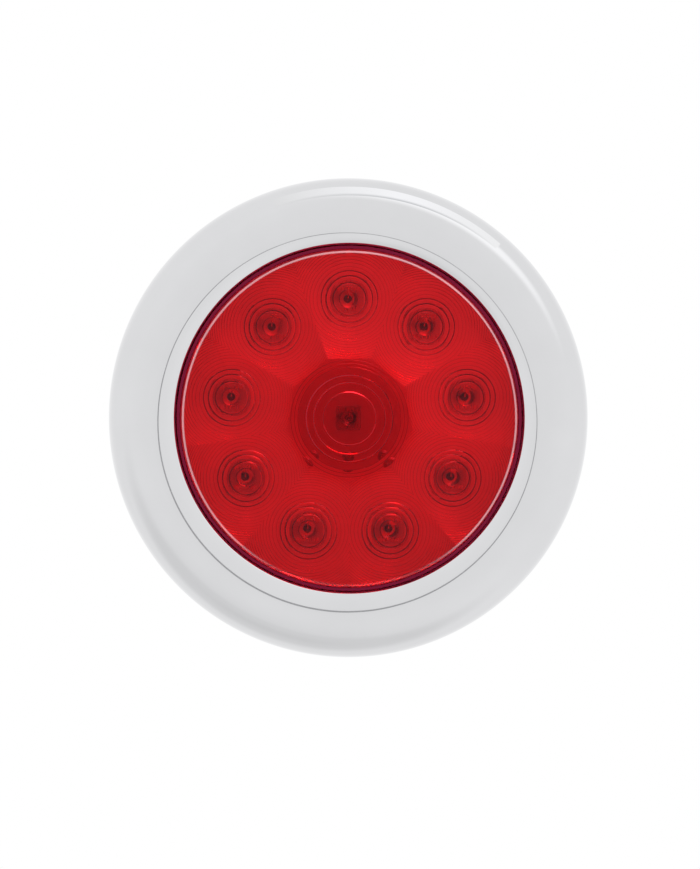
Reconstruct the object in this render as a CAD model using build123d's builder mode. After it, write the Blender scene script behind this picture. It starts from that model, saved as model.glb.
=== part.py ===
from build123d import *
import os

# Round LED stop, turn and tail lamp for a trailer, held in a chrome bezel that twists off.
#
# The lamp's axis is Y: the lens faces -Y, Z is up and X is to the right as seen from the front.
# The origin is on that axis in the mounting plane, the back face of the base gasket.
# Heights are counted forward from the mounting plane, and radii from the axis, in millimetres.
# Angles are counted anticlockwise from +X, as seen from the front.

# ---- Driving dimensions ----
LENS_R = 53.7  # the lens where it meets the bezel's mouth
LENS_FACE_R = 52.0  # the raised face of the lens
LENS_FACE_H = 16.5
LENS_THICKNESS = 2.5
LENS_LEDGE_H = 13.0  # narrow flat ledge round the raised face
LENS_FACE_DRAFT = 0.5  # how far the wall between the two draws in
LAMP_FLANGE_R = 57.5
FLANGE_BACK_H = 6.0
FLANGE_FRONT_H = 9.0

BEZEL_R = 74.6
BEZEL_MOUTH_R = 54.1
BEZEL_MOUTH_H = 13.5
BEZEL_CREST_R = 60.5
BEZEL_CREST_H = 14.2
BEZEL_SHOULDER_R = 68.0  # the nearly flat front rolls over into the side here
BEZEL_SHOULDER_H = 13.4
BEZEL_WALL = 2.0
BEZEL_RIM_H = 0.3  # gap between the rim and the mounting plane

BASE_R = 68.2
BASE_BORE_R = 54.3
BASE_BACK_H = 2.0
BASE_SEAT_H = 4.5
SPIGOT_R = 56.5  # drops into a 4.5 in cut-out
SPIGOT_DEPTH = 6.0  # behind the mounting plane

SCREW_COUNT = 4
SCREW_PITCH_R = 63.5
SCREW_START_ANGLE = 45
SCREW_THREAD_R = 2.4  # number 10 screw
SCREW_SHANK_R = 2.2
SCREW_HOLE_R = 2.7
SCREW_REACH = 14.0  # behind the mounting plane
SCREW_HEAD_R = 4.5
SCREW_HEAD_HEIGHT = 3.0
BOSS_H = 6.0  # the screw heads bear on the bosses at this height

LUG_COUNT = 4
BASE_LUG_HALF_ANGLE = 12.0
BEZEL_LUG_HALF_ANGLE = 11.0
BEZEL_TURN = 24.0  # from locked to released
LUG_END_GAP = 0.4  # degrees between a lug and its stop
STOP_ANGLE = 3.1  # width of a stop, in degrees
BASE_LUG_R = 70.6
BASE_LUG_BACK_H = 4.1
BASE_LUG_FRONT_H = 6.3
BEZEL_LUG_R = 69.0
BEZEL_LUG_BACK_H = 1.2
BEZEL_LUG_FRONT_H = 3.7

HOUSING_R = 53.6
HOUSING_BODY_R = 52.0
HOUSING_FLOOR_H = -8.0
HOUSING_FLOOR_THICKNESS = 2.0
HOUSING_BORE_R = 49.9
HOUSING_LEDGE_R = 47.9
TOWER_BACK_H = -18.5
TOWER_SIZE = (42.0, 22.0)
TOWER_Z = -12.0  # the plug socket sits below the axis, clear of the middle LED
SOCKET_SIZE = (36.0, 16.0)
SOCKET_FLOOR_H = -5.5
WEB_FRONT_H = -3.0  # front of the solid block behind the socket's floor

PIN_R = 2.0
PIN_PITCH = 11.0
PIN_BACK_H = -13.5
PIN_FRONT_H = -1.5
PIN_TAIL_R = 0.8

BOARD_R = 49.5
BOARD_BACK_H = -1.0
BOARD_FRONT_H = 0.6
BOARD_THICKNESS = BOARD_FRONT_H - BOARD_BACK_H

LED_RING_R = 37.0
LED_RING_COUNT = 9
LED_SIZE = 7.6
LED_STANDOFF = 0.8
LED_BODY_HEIGHT = 2.9
LED_DOME_R = 2.5
LED_LEG_PITCH = 5.08
LED_LEG_WIDTH = 0.5
LED_LEG_REACH = 1.2  # behind the circuit board
FRAME_BACK = 1.5  # back of the lead frames, above the board
FRAME_THICKNESS = 0.35
CUP_R = 1.15
CUP_FRONT = 2.3
CUP_FLOOR = 1.65
DIE_SIZE = 0.35
DIE_THICKNESS = 0.15
WIRE_R = 0.06
SOLDER_HEIGHT = 1.2  # of the cones round the pin tails

RIB_WIDTH = 1.8
RIB_HEIGHT = 2.5

# ---- Planes and shared outlines ----
SECTION = Plane(origin=(0, 0, 0), x_dir=(1, 0, 0), z_dir=(0, 0, -1))  # x is radius, y is height


def facing(height):
    """Plane across the axis at a height, facing forward, with its x along X and its y along Z."""
    return Plane.XZ.offset(height)


def sector(height, inner_r, outer_r, middle_angle, half_angle):
    """Part of a flat ring, centred on an angle."""
    start = middle_angle - half_angle
    with BuildSketch(facing(height)) as patch:
        with BuildLine():
            far = CenterArc((0, 0), outer_r, start, 2 * half_angle)
            near = CenterArc((0, 0), inner_r, start, 2 * half_angle)
            Line(near @ 0, far @ 0)
            Line(near @ 1, far @ 1)
        make_face()
    return patch.sketch


def at_leds(height):
    """Points at a height on the axis of every LED."""
    return [(x, -height, z) for x, z in LED_CENTRES]


# one LED in the middle and a ring of them, the first at the top
with PolarLocations(LED_RING_R, LED_RING_COUNT, start_angle=90) as led_ring:
    LED_CENTRES = [(0, 0)] + [(spot.position.X, spot.position.Y) for spot in led_ring.locations]
LUG_ANGLES = [360 / LUG_COUNT * i for i in range(LUG_COUNT)]
DRAIN_ANGLES = (244, 296)
DRAIN_HALF_ANGLE = 2.5
PIN_XS = {"tail_pin": -PIN_PITCH, "ground_pin": 0.0, "stop_pin": PIN_PITCH}

os.makedirs("parts", exist_ok=True)

# ---- Chrome bezel: a low dome that rolls over into its side, with a lip that traps the lamp ----
LIP_R = BEZEL_MOUTH_R + 1.8
LIP_BACK_H = FLANGE_FRONT_H + 0.3
with BuildPart() as bezel:
    with BuildSketch(SECTION) as bezel_section:
        with BuildLine():
            for inset in (0, BEZEL_WALL):
                crest = (BEZEL_CREST_R, BEZEL_CREST_H - inset)
                shoulder = (BEZEL_SHOULDER_R, BEZEL_SHOULDER_H - inset)
                mouth_r = LIP_R if inset else BEZEL_MOUTH_R
                front = TangentArc(crest, shoulder, tangent=(1, 0))
                inner = TangentArc(crest, (mouth_r, BEZEL_MOUTH_H - 1.1 * inset), tangent=(-1, 0))
                rim = (BEZEL_R - inset, BEZEL_RIM_H)
                Bezier(
                    shoulder,
                    Vector(shoulder) + (front % 1) * 4.5,
                    (rim[0], BEZEL_CREST_H / 2),
                    rim,
                )
            Polyline(
                (BEZEL_MOUTH_R, BEZEL_MOUTH_H),
                (BEZEL_MOUTH_R, LIP_BACK_H),
                (LIP_R, LIP_BACK_H),
                inner @ 1,
            )
            Line((BEZEL_R - BEZEL_WALL, BEZEL_RIM_H), (BEZEL_R, BEZEL_RIM_H))
        make_face()
        mouth_edge = bezel_section.vertices().sort_by_distance((BEZEL_MOUTH_R, BEZEL_MOUTH_H))[0]
        fillet(mouth_edge, radius=0.5)
        rim_edge = bezel_section.vertices().sort_by_distance((BEZEL_R, BEZEL_RIM_H))[0]
        fillet(rim_edge, radius=0.4)
    revolve(axis=Axis.Y)
    # four lugs that hook behind those of the base
    for angle in LUG_ANGLES:
        lug = sector(BEZEL_LUG_BACK_H, BEZEL_LUG_R, BEZEL_R - 1.4, angle, BEZEL_LUG_HALF_ANGLE)
        extrude(lug, amount=BEZEL_LUG_FRONT_H - BEZEL_LUG_BACK_H)
bezel.part.label = "bezel"
export_step(bezel.part, "parts/bezel.step")

# ---- Foam gasket between the base and the trailer's panel ----
with BuildPart() as base_gasket:
    with BuildSketch(facing(0)):
        Circle(BASE_R - 0.2)
        Circle(SPIGOT_R + 1.5, mode=Mode.SUBTRACT)
        with PolarLocations(SCREW_PITCH_R, SCREW_COUNT, start_angle=SCREW_START_ANGLE):
            Circle(SCREW_HOLE_R, mode=Mode.SUBTRACT)
    extrude(amount=BASE_BACK_H)
base_gasket.part.label = "base_gasket"
export_step(base_gasket.part, "parts/base_gasket.step")

# ---- Mounting base: flange, panel spigot, two ring walls, screw bosses and bayonet lugs ----
SEAT_WALL_R = 58.0
SEAT_WALL_TOP_H = 9.5
OUTER_WALL_TOP_H = 7.5
WALL = 2.0
with BuildPart() as mounting_base:
    with BuildSketch(SECTION):
        with BuildLine():
            Polyline(
                (BASE_BORE_R, -SPIGOT_DEPTH),
                (SPIGOT_R, -SPIGOT_DEPTH),
                (SPIGOT_R, BASE_BACK_H),
                (BASE_R, BASE_BACK_H),
                (BASE_R, OUTER_WALL_TOP_H),
                (BASE_R - WALL, OUTER_WALL_TOP_H),
                (BASE_R - WALL, BASE_SEAT_H),
                (SEAT_WALL_R + WALL, BASE_SEAT_H),
                (SEAT_WALL_R + WALL, SEAT_WALL_TOP_H),
                (SEAT_WALL_R, SEAT_WALL_TOP_H),
                (SEAT_WALL_R, BASE_SEAT_H),
                (BASE_BORE_R, BASE_SEAT_H),
                close=True,
            )
        make_face()
    revolve(axis=Axis.Y)
    # stiffening ribs between the two walls, and the screw bosses
    with BuildSketch(facing(BASE_BACK_H + 0.5)):
        with PolarLocations(SCREW_PITCH_R - 0.4, 8, start_angle=SCREW_START_ANGLE / 2):
            Rectangle(BASE_R - SEAT_WALL_R - 2 * WALL + 1.0, 1.6)
        with PolarLocations(SCREW_PITCH_R, SCREW_COUNT, start_angle=SCREW_START_ANGLE):
            Circle(SCREW_HEAD_R + 0.1)
    extrude(amount=BOSS_H - BASE_BACK_H - 0.5)
    # room for the screw heads, and the holes below them
    with Locations(facing(SEAT_WALL_TOP_H)):
        with PolarLocations(SCREW_PITCH_R, SCREW_COUNT, start_angle=SCREW_START_ANGLE):
            CounterBoreHole(
                radius=SCREW_HOLE_R,
                counter_bore_radius=SCREW_HEAD_R + 0.4,
                counter_bore_depth=SEAT_WALL_TOP_H - BOSS_H,
            )
    # drain slots low in the outer wall, one each side of the bottom lug
    for angle in DRAIN_ANGLES:
        slot = sector(BASE_SEAT_H, BASE_R - WALL - 0.5, BASE_R + 0.5, angle, DRAIN_HALF_ANGLE)
        extrude(slot, amount=OUTER_WALL_TOP_H - BASE_SEAT_H + 1.0, mode=Mode.SUBTRACT)
    # key that holds the lamp upright in its seat
    with BuildSketch(facing(FLANGE_BACK_H + 0.2)):
        with Locations((0, -SEAT_WALL_R + 0.25)):
            Rectangle(3.2, 2.1)
    extrude(amount=FLANGE_FRONT_H - FLANGE_BACK_H - 0.2)
    # bayonet lugs, each with a stop that the locked bezel rests on and one that ends its turn
    for angle in LUG_ANGLES:
        lug = sector(BASE_LUG_BACK_H, BASE_R - 0.5, BASE_LUG_R, angle, BASE_LUG_HALF_ANGLE)
        extrude(lug, amount=BASE_LUG_FRONT_H - BASE_LUG_BACK_H)
        stop_offset = BEZEL_LUG_HALF_ANGLE + LUG_END_GAP + STOP_ANGLE / 2
        for stop_angle in (angle - stop_offset, angle + BEZEL_TURN + stop_offset):
            stop = sector(BASE_BACK_H, BASE_R - 0.5, BASE_LUG_R, stop_angle, STOP_ANGLE / 2)
            extrude(stop, amount=BASE_LUG_FRONT_H - BASE_BACK_H)
mounting_base.part.label = "mounting_base"
export_step(mounting_base.part, "parts/mounting_base.step")

# ---- Pan-head screws through the base ----
RECESS_LENGTH = 5.2
RECESS_WIDTH = 1.1
RECESS_DEPTH = 1.9
with BuildPart() as mounting_screws:
    with BuildSketch(facing(BOSS_H)):
        with PolarLocations(SCREW_PITCH_R, SCREW_COUNT, start_angle=SCREW_START_ANGLE):
            Circle(SCREW_HEAD_R)
    extrude(amount=SCREW_HEAD_HEIGHT)
    head_rims = mounting_screws.edges().filter_by(GeomType.CIRCLE).group_by(Axis.Y)[0]
    fillet(head_rims, radius=1.6)
    # Phillips recess, narrowing towards its floor
    with BuildSketch(facing(BOSS_H + SCREW_HEAD_HEIGHT)):
        with PolarLocations(SCREW_PITCH_R, SCREW_COUNT, start_angle=SCREW_START_ANGLE):
            Rectangle(RECESS_LENGTH, RECESS_WIDTH)
            Rectangle(RECESS_WIDTH, RECESS_LENGTH)
    extrude(amount=-RECESS_DEPTH, taper=12, mode=Mode.SUBTRACT)
    with BuildSketch(facing(0)):
        with PolarLocations(SCREW_PITCH_R, SCREW_COUNT, start_angle=SCREW_START_ANGLE):
            Circle(SCREW_SHANK_R)
    extrude(amount=BOSS_H)
    with BuildSketch(facing(0)):
        with PolarLocations(SCREW_PITCH_R, SCREW_COUNT, start_angle=SCREW_START_ANGLE):
            Circle(SCREW_THREAD_R)
    extrude(amount=-SCREW_REACH)
    tips = mounting_screws.edges().filter_by(GeomType.CIRCLE).group_by(Axis.Y)[-1]
    chamfer(tips, length=2.4, length2=1.1)
mounting_screws.part.label = "mounting_screws"
export_step(mounting_screws.part, "parts/mounting_screws.step")

# ---- Sealing ring between the base and the lamp's flange ----
with BuildPart() as seat_gasket:
    with BuildSketch(facing(BASE_SEAT_H)):
        Circle(LAMP_FLANGE_R - 0.3)
        Circle(BASE_BORE_R + 0.3, mode=Mode.SUBTRACT)
    extrude(amount=FLANGE_BACK_H - BASE_SEAT_H)
seat_gasket.part.label = "seat_gasket"
export_step(seat_gasket.part, "parts/seat_gasket.step")

# ---- Red lens: raised face, ledge, skirt and flange, with prismatic rings inside ----
LENS_BORE_R = 51.4
LENS_INNER_H = LENS_FACE_H - LENS_THICKNESS
RING_DEPTH = 0.42
RING_DRAFT = 0.13
FIRST_RING_R = 5.0
RING_COUNT = 6
DISH_R = 9.1  # shallow dish in front of the middle LED
DISH_FLOOR_R = 8.4
DISH_DEPTH = 0.35
GROOVE_RADII = (11.1, 13.4, 15.9)  # round the dish
GROOVE_HALF_WIDTH = 0.2
GROOVE_DEPTH = 0.16
OVERLAP = 0.5
# a bead in front of an LED, then rings of equal depth that close up as they widen
with BuildPart() as led_optic:
    with BuildSketch(SECTION):
        with BuildLine():
            bead = TangentArc((0, -RING_DEPTH), (FIRST_RING_R, 0), tangent=(1, 0))
            teeth = [bead @ 1]
            for i in range(1, RING_COUNT):
                teeth.append((FIRST_RING_R * i**0.5 + RING_DRAFT, -RING_DEPTH))
                teeth.append((FIRST_RING_R * (i + 1) ** 0.5, 0))
            Polyline(*teeth, (FIRST_RING_R * RING_COUNT**0.5, OVERLAP), (0, OVERLAP), bead @ 0)
        make_face()
    revolve(axis=Axis.Y)

with BuildPart() as lens:
    with BuildSketch(SECTION) as lens_section:
        with BuildLine():
            Polyline(
                (0, LENS_FACE_H),
                (LENS_FACE_R, LENS_FACE_H),
                (LENS_FACE_R + LENS_FACE_DRAFT, LENS_LEDGE_H),
                (LENS_R, LENS_LEDGE_H),
                (LENS_R, FLANGE_FRONT_H),
                (LAMP_FLANGE_R, FLANGE_FRONT_H),
                (LAMP_FLANGE_R, FLANGE_BACK_H),
                (LENS_BORE_R, FLANGE_BACK_H),
                (LENS_BORE_R, LENS_INNER_H),
                (0, LENS_INNER_H),
                close=True,
            )
        make_face()
        face_corner = (LENS_FACE_R, LENS_FACE_H)
        fillet(lens_section.vertices().sort_by_distance(face_corner)[0], radius=0.9)
        for ledge_corner in ((LENS_FACE_R + LENS_FACE_DRAFT, LENS_LEDGE_H), (LENS_R, LENS_LEDGE_H)):
            fillet(lens_section.vertices().sort_by_distance(ledge_corner)[0], radius=0.4)
    revolve(axis=Axis.Y)
    # notch in the flange for the base's key
    with BuildSketch(facing(FLANGE_BACK_H)):
        with Locations((0, -LAMP_FLANGE_R)):
            Rectangle(4.0, 2.4)
    extrude(amount=FLANGE_FRONT_H - FLANGE_BACK_H, mode=Mode.SUBTRACT)
    with Locations(*at_leds(LENS_INNER_H)[1:]):
        add(led_optic.part)
    # dish in the middle, and the grooves round it
    with BuildSketch(SECTION):
        with BuildLine():
            Polyline(
                (0, LENS_INNER_H),
                (DISH_R, LENS_INNER_H),
                (DISH_FLOOR_R, LENS_INNER_H + DISH_DEPTH),
                (0, LENS_INNER_H + DISH_DEPTH),
                close=True,
            )
        make_face()
        for groove_r in GROOVE_RADII:
            with BuildLine():
                Polyline(
                    (groove_r - GROOVE_HALF_WIDTH, LENS_INNER_H),
                    (groove_r + GROOVE_HALF_WIDTH, LENS_INNER_H),
                    (groove_r, LENS_INNER_H + GROOVE_DEPTH),
                    close=True,
                )
            make_face()
    revolve(axis=Axis.Y, mode=Mode.SUBTRACT)
lens.part.label = "lens"
export_step(lens.part, "parts/lens.step")

# ---- Terminal pins of the plug socket, each with a thin tail through the board ----
terminal_pins = {}
for name, x in PIN_XS.items():
    with BuildPart() as pin:
        with BuildSketch(facing(PIN_BACK_H)):
            with Locations((x, TOWER_Z)):
                Circle(PIN_R)
        extrude(amount=PIN_FRONT_H - PIN_BACK_H)
        fillet(pin.edges().filter_by(GeomType.CIRCLE).sort_by(Axis.Y)[-1], radius=0.9)
        with BuildSketch(facing(PIN_FRONT_H)):
            with Locations((x, TOWER_Z)):
                Circle(PIN_TAIL_R)
        extrude(amount=BOARD_FRONT_H + SOLDER_HEIGHT - PIN_FRONT_H)
    pin.part.label = name
    export_step(pin.part, f"parts/{name}.step")
    terminal_pins[name] = pin.part

# ---- Housing: cup with a ledge for the board, plug socket tower and ribs on its back ----
HOUSING_SHOULDER_H = 3.0  # the wall steps in behind this height
HOUSING_SPIGOT_R = 51.1  # fits inside the lens's skirt
HOUSING_SPIGOT_H = 8.5
HOUSING_CORNER_R = 3.0
WEB_SIZE = (40.0, 20.0)
with BuildPart() as lamp_housing:
    with BuildSketch(SECTION) as housing_section:
        with BuildLine():
            Polyline(
                (0, HOUSING_FLOOR_H),
                (HOUSING_BODY_R, HOUSING_FLOOR_H),
                (HOUSING_BODY_R, HOUSING_SHOULDER_H),
                (HOUSING_R, HOUSING_SHOULDER_H),
                (HOUSING_R, FLANGE_BACK_H),
                (HOUSING_SPIGOT_R, FLANGE_BACK_H),
                (HOUSING_SPIGOT_R, HOUSING_SPIGOT_H),
                (HOUSING_BORE_R, HOUSING_SPIGOT_H),
                (HOUSING_BORE_R, BOARD_BACK_H),
                (HOUSING_LEDGE_R, BOARD_BACK_H),
                (HOUSING_LEDGE_R, HOUSING_FLOOR_H + HOUSING_FLOOR_THICKNESS),
                (0, HOUSING_FLOOR_H + HOUSING_FLOOR_THICKNESS),
                close=True,
            )
        make_face()
        back_corner = (HOUSING_BODY_R, HOUSING_FLOOR_H)
        fillet(housing_section.vertices().sort_by_distance(back_corner)[0], radius=HOUSING_CORNER_R)
    revolve(axis=Axis.Y)
    # ribs across the back, crossing under the tower
    with BuildSketch(facing(HOUSING_FLOOR_H + 0.5)):
        with PolarLocations(HOUSING_BODY_R / 2 + 6.0, 12, start_angle=15):
            Rectangle(HOUSING_BODY_R - 24.0, RIB_WIDTH)
        Circle(HOUSING_BODY_R / 2 + 1.0)
        Circle(HOUSING_BODY_R / 2 + 1.0 - RIB_WIDTH, mode=Mode.SUBTRACT)
    extrude(amount=-RIB_HEIGHT - 0.5)
    # block inside the cup that carries the pins, and the tower outside it
    with BuildSketch(facing(HOUSING_FLOOR_H)):
        with Locations((0, TOWER_Z)):
            RectangleRounded(*WEB_SIZE, 2.0)
    extrude(amount=WEB_FRONT_H - HOUSING_FLOOR_H)
    with BuildSketch(facing(HOUSING_FLOOR_H + 0.5)):
        with Locations((0, TOWER_Z)):
            RectangleRounded(*TOWER_SIZE, 4.0)
    extrude(amount=TOWER_BACK_H - HOUSING_FLOOR_H - 0.5)
    # catches for the plug's latch, above and below the tower
    with BuildSketch(facing(TOWER_BACK_H + 2.0)):
        for side in (1, -1):
            with Locations((0, TOWER_Z + side * TOWER_SIZE[1] / 2)):
                Rectangle(10.0, 2.4)
    extrude(amount=2.5)
    with BuildSketch(facing(TOWER_BACK_H)):
        with Locations((0, TOWER_Z)):
            RectangleRounded(*SOCKET_SIZE, 2.5)
    extrude(amount=SOCKET_FLOOR_H - TOWER_BACK_H, mode=Mode.SUBTRACT)
    with BuildSketch(facing(SOCKET_FLOOR_H)):
        for x in PIN_XS.values():
            with Locations((x, TOWER_Z)):
                Circle(PIN_R)
    extrude(amount=WEB_FRONT_H - SOCKET_FLOOR_H, mode=Mode.SUBTRACT)
lamp_housing.part.label = "lamp_housing"
export_step(lamp_housing.part, "parts/lamp_housing.step")

# ---- Circuit board, drilled for the pin tails and the LED legs ----
with BuildPart() as circuit_board:
    with BuildSketch(facing(BOARD_BACK_H)):
        Circle(BOARD_R)
        for x in PIN_XS.values():
            with Locations((x, TOWER_Z)):
                Circle(PIN_TAIL_R, mode=Mode.SUBTRACT)
        with Locations(*LED_CENTRES):
            with GridLocations(LED_LEG_PITCH, LED_LEG_PITCH, 2, 2):
                Circle(LED_LEG_WIDTH, mode=Mode.SUBTRACT)
    extrude(amount=BOARD_THICKNESS)
circuit_board.part.label = "circuit_board"
export_step(circuit_board.part, "parts/circuit_board.step")

# ---- One LED, with its axis at the origin and the board's front face at height 0 ----
LEG_LENGTH = FRAME_BACK + BOARD_THICKNESS + LED_LEG_REACH
PLATE_TIP = 1.6  # the anode plate stops this far above the LED's axis
PLATE_SHOULDER = 2.0
PLATE_EDGE = 3.0
PLATE_TIP_HALF = 1.2
with BuildPart() as one_anode:
    with BuildSketch(facing(FRAME_BACK)):
        with BuildLine():
            Polyline(
                (-PLATE_TIP_HALF, PLATE_TIP),
                (PLATE_TIP_HALF, PLATE_TIP),
                (PLATE_EDGE, PLATE_SHOULDER),
                (PLATE_EDGE, PLATE_EDGE),
                (-PLATE_EDGE, PLATE_EDGE),
                (-PLATE_EDGE, PLATE_SHOULDER),
                close=True,
            )
        make_face()
    extrude(amount=FRAME_THICKNESS)
    with BuildSketch(facing(FRAME_BACK)):
        with Locations((0, LED_LEG_PITCH / 2)):
            with GridLocations(LED_LEG_PITCH, 0, 2, 1):
                Rectangle(LED_LEG_WIDTH, LED_LEG_WIDTH)
    extrude(amount=-LEG_LENGTH)

with BuildPart() as one_cathode:
    with BuildSketch(facing(FRAME_BACK)):
        with BuildLine():
            Polyline(
                (-PLATE_TIP_HALF, -0.3),
                (PLATE_TIP_HALF, -0.3),
                (PLATE_TIP_HALF, -PLATE_TIP),
                (PLATE_EDGE, -PLATE_SHOULDER),
                (PLATE_EDGE, -PLATE_EDGE),
                (-PLATE_EDGE, -PLATE_EDGE),
                (-PLATE_EDGE, -PLATE_SHOULDER),
                (-PLATE_TIP_HALF, -PLATE_TIP),
                close=True,
            )
        make_face()
    extrude(amount=FRAME_THICKNESS)
    # reflector cup at the tip of the plate
    with BuildSketch(facing(FRAME_BACK)):
        Circle(CUP_R)
    extrude(amount=CUP_FRONT - FRAME_BACK)
    with BuildSketch(facing(CUP_FRONT)):
        Circle(CUP_R - 0.2)
    extrude(amount=CUP_FLOOR - CUP_FRONT, taper=35, mode=Mode.SUBTRACT)
    with BuildSketch(facing(FRAME_BACK)):
        with Locations((0, -LED_LEG_PITCH / 2)):
            with GridLocations(LED_LEG_PITCH, 0, 2, 1):
                Rectangle(LED_LEG_WIDTH, LED_LEG_WIDTH)
    extrude(amount=-LEG_LENGTH)

with BuildPart() as one_die:
    with BuildSketch(facing(CUP_FLOOR)):
        Rectangle(DIE_SIZE, DIE_SIZE)
    extrude(amount=DIE_THICKNESS)

with BuildPart() as one_wire:
    die_top = (0, -(CUP_FLOOR + DIE_THICKNESS), 0)
    anode_land = (0, -(FRAME_BACK + FRAME_THICKNESS), PLATE_TIP + 0.4)
    loop_top = (0, -(CUP_FRONT + 0.5), PLATE_TIP / 2)
    with BuildLine() as wire_line:
        ThreePointArc(die_top, loop_top, anode_land)
    with BuildSketch(Plane(origin=die_top, z_dir=wire_line.line % 0)):
        Circle(WIRE_R)
    sweep(path=wire_line.line)

with BuildPart() as one_body:
    with BuildSketch(facing(LED_STANDOFF)):
        RectangleRounded(LED_SIZE, LED_SIZE, 0.6)
    extrude(amount=LED_BODY_HEIGHT)
    body_front = LED_STANDOFF + LED_BODY_HEIGHT
    with BuildSketch(SECTION):
        with BuildLine():
            crown = CenterArc((0, body_front), LED_DOME_R, 0, 90)
            Polyline(crown @ 1, (0, body_front - 0.5), (LED_DOME_R, body_front - 0.5), crown @ 0)
        make_face()
    revolve(axis=Axis.Y)
    for inset in (one_anode, one_cathode, one_die, one_wire):
        add(inset.part, mode=Mode.SUBTRACT)

# ---- The ten LEDs, as one node for each of their pieces ----
LED_PIECES = {
    "led_bodies": one_body,
    "led_anode_frames": one_anode,
    "led_cathode_frames": one_cathode,
    "led_dies": one_die,
    "led_bond_wires": one_wire,
}
for name, unit in LED_PIECES.items():
    with BuildPart() as group:
        with Locations(*at_leds(BOARD_FRONT_H)):
            add(unit.part)
    group.part.label = name
    export_step(group.part, f"parts/{name}.step")

# ---- Solder: a cone round each LED leg behind the board and round each pin tail in front ----
LEG_CONE_R = 1.0
PIN_CONE_R = 1.9
with BuildPart() as leg_cone:
    with BuildSketch(SECTION):
        with BuildLine():
            Polyline(
                (0, 0),
                (LEG_CONE_R, 0),
                (LEG_CONE_R / 2, -LED_LEG_REACH),
                (0, -LED_LEG_REACH),
                close=True,
            )
        make_face()
    revolve(axis=Axis.Y)

with BuildPart() as pin_cone:
    with BuildSketch(SECTION):
        with BuildLine():
            Polyline(
                (PIN_TAIL_R, 0),
                (PIN_CONE_R, 0),
                (PIN_TAIL_R + 0.3, SOLDER_HEIGHT),
                (PIN_TAIL_R, SOLDER_HEIGHT),
                close=True,
            )
        make_face()
    revolve(axis=Axis.Y)

leg_spots = [
    (x + i * LED_LEG_PITCH / 2, -BOARD_BACK_H, z + j * LED_LEG_PITCH / 2)
    for x, z in LED_CENTRES
    for i in (-1, 1)
    for j in (-1, 1)
]
with BuildPart() as solder_cones:
    with Locations(*leg_spots):
        add(leg_cone.part)

with BuildPart() as solder_joints:
    add(solder_cones.part)
    with BuildSketch(facing(BOARD_BACK_H)):
        with Locations(*[(x, z) for x, _, z in leg_spots]):
            Rectangle(LED_LEG_WIDTH, LED_LEG_WIDTH)
    extrude(amount=-LED_LEG_REACH, mode=Mode.SUBTRACT)
    with Locations(*[(x, -BOARD_FRONT_H, TOWER_Z) for x in PIN_XS.values()]):
        add(pin_cone.part)
solder_joints.part.label = "solder_joints"
export_step(solder_joints.part, "parts/solder_joints.step")

# ---- Components behind the board, sunk in the potting ----
RESISTOR_SIZE = (3.2, 6.3, 0.7)
RESISTOR_COUNT = 5
RESISTOR_PITCH = 8.0
RESISTOR_Z = 21.0
with BuildPart() as resistors:
    with BuildSketch(facing(BOARD_BACK_H)):
        with Locations((0, RESISTOR_Z)):
            with GridLocations(RESISTOR_PITCH, 0, RESISTOR_COUNT, 1):
                Rectangle(RESISTOR_SIZE[0], RESISTOR_SIZE[1])
    extrude(amount=-RESISTOR_SIZE[2])
resistors.part.label = "resistors"
export_step(resistors.part, "parts/resistors.step")

DIODE_SIZE = (4.4, 2.7, 2.2)
DIODE_COUNT = 3
DIODE_PITCH = 13.0
DIODE_Z = 11.0
with BuildPart() as diodes:
    with BuildSketch(facing(BOARD_BACK_H)):
        with Locations((0, DIODE_Z)):
            with GridLocations(DIODE_PITCH, 0, DIODE_COUNT, 1):
                Rectangle(DIODE_SIZE[0], DIODE_SIZE[1])
    extrude(amount=-DIODE_SIZE[2], taper=4)
diodes.part.label = "diodes"
export_step(diodes.part, "parts/diodes.step")

CAPACITOR_FOOT = 6.6
CAPACITOR_FOOT_HEIGHT = 0.8
CAPACITOR_R = 3.1
CAPACITOR_HEIGHT = 3.4  # above its foot
CAPACITOR_PITCH = 22.0
CAPACITOR_Z = 30.0
with BuildPart() as capacitors:
    with BuildSketch(facing(BOARD_BACK_H)):
        with Locations((0, CAPACITOR_Z)):
            with GridLocations(CAPACITOR_PITCH, 0, 2, 1):
                Rectangle(CAPACITOR_FOOT, CAPACITOR_FOOT)
    extrude(amount=-CAPACITOR_FOOT_HEIGHT)
    with BuildSketch(facing(BOARD_BACK_H - CAPACITOR_FOOT_HEIGHT)):
        with Locations((0, CAPACITOR_Z)):
            with GridLocations(CAPACITOR_PITCH, 0, 2, 1):
                Circle(CAPACITOR_R)
    extrude(amount=-CAPACITOR_HEIGHT)
capacitors.part.label = "capacitors"
export_step(capacitors.part, "parts/capacitors.step")

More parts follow.
